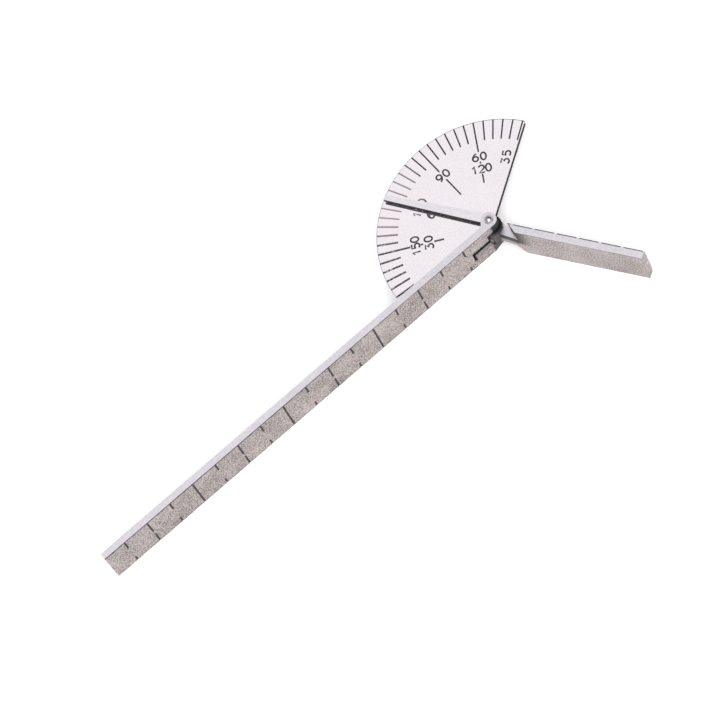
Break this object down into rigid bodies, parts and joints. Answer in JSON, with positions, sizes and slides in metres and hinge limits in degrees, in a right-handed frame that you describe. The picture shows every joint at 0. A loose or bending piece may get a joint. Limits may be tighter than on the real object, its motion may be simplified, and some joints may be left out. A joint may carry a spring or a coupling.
{
  "type": "finger goniometer",
  "caption": "Small steel protractor: two thin blade arms on edge joined by a riveted pivot, with a sector dial and a pointer that reads the angle between the arms.",
  "frame": {"origin": "on the pivot axis, at the flat lower end of the pivot pin, level with the lower edges of both arms", "axes": "+Z along the pivot axis, up from the lower edges to the dial's graduated side; -X along the long arm from the pivot; +Y towards the dial"},
  "size_m": [0.1306, 0.0562, 0.0111],
  "materials": {
    "satin_steel": "satin, fine blasted grain",
    "polished_steel": "polished, bright",
    "pin_steel": "turned, slightly dull"
  },
  "bodies": {
    "frame": {"long_arm": "satin_steel", "sector_plate": "polished_steel", "pivot_pin": "pin_steel", "spring_washer": "pin_steel", "thrust_washer": "pin_steel"},
    "moving_arm": {"short_arm": "satin_steel", "pointer": "polished_steel"}
  },
  "joints": [
    {"name": "pivot", "type": "hinge", "parent": "frame", "child": "moving_arm", "pos_m": [0, 0, 0], "axis": [0, 0, 1], "range_deg": [-86.5, 58.5]}
  ]
}
